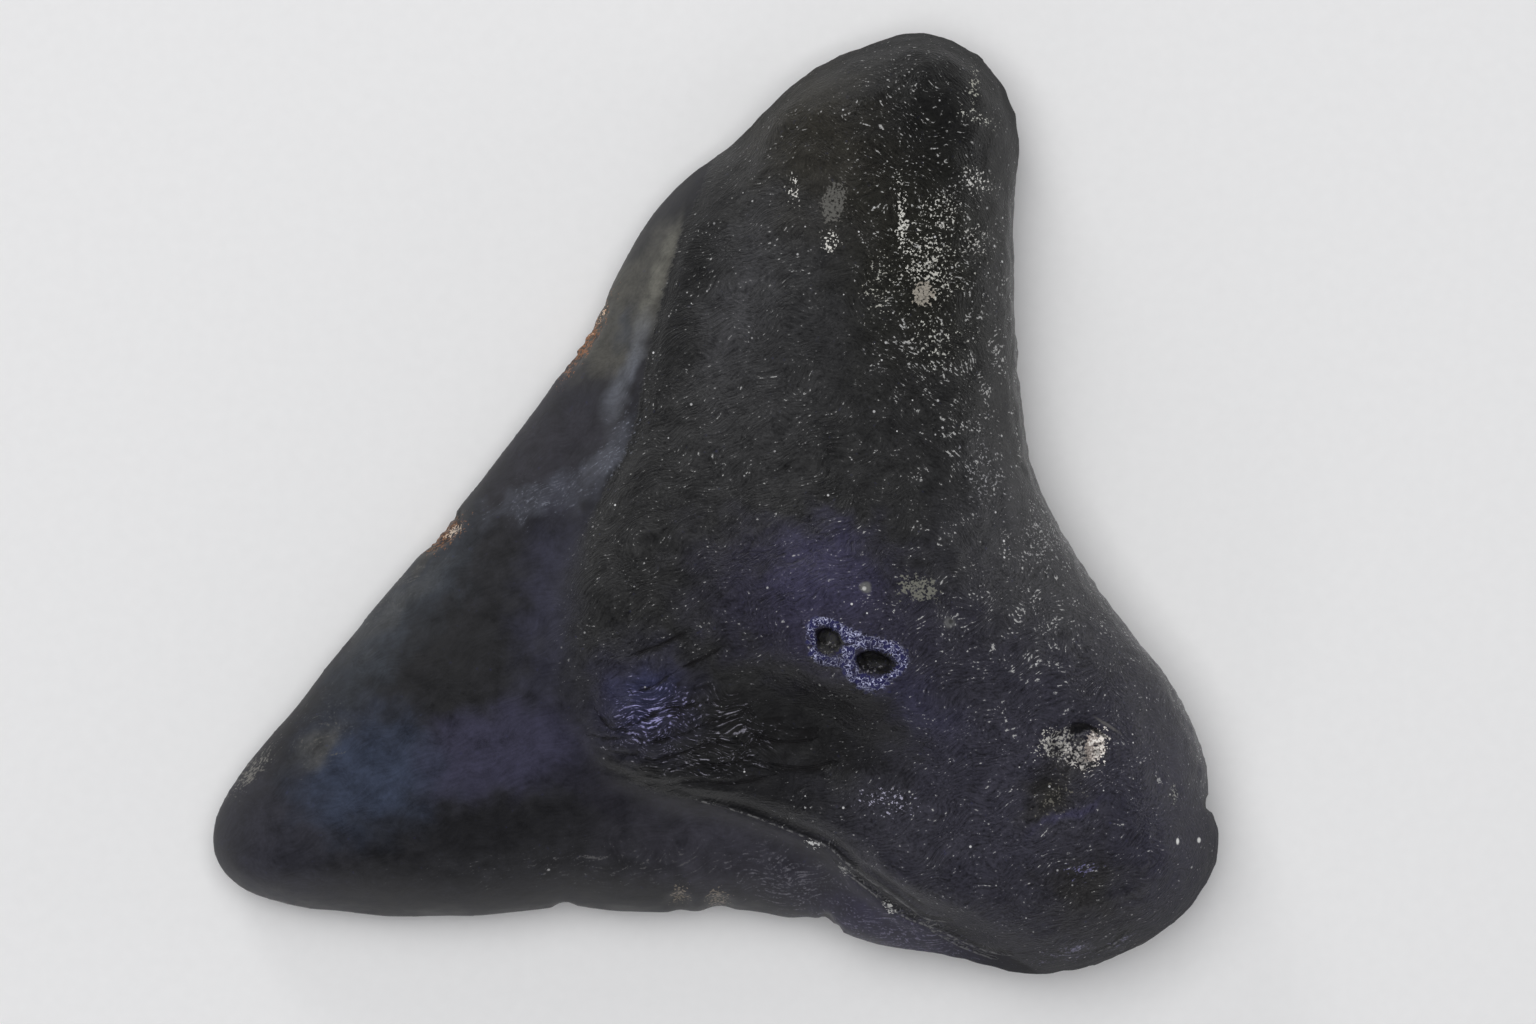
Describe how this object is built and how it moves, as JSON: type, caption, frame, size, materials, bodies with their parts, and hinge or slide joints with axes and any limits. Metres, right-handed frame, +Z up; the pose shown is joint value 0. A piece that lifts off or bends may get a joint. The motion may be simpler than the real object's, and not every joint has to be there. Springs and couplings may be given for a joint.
{
  "type": "megalodon tooth",
  "caption": "Water-worn fossil shark tooth: a blunt triangular blade on a thick lobed root with a swollen middle, blue-black, lying on its flatter outer face.",
  "frame": {"origin": "middle of the base, under the centre of the tooth's outline, on the surface it lies on", "axes": "+Z up out of the swollen inner face; +X from the blade's tip towards the root; +Y towards the root's longer lobe"},
  "size_m": [0.0806, 0.0752, 0.0193],
  "materials": {
    "fossil_tooth": "dark blue-black phosphate, sea-polished, glossier on the enamel than on the root"
  },
  "bodies": {
    "root": {"tooth": "fossil_tooth"}
  },
  "joints": []
}
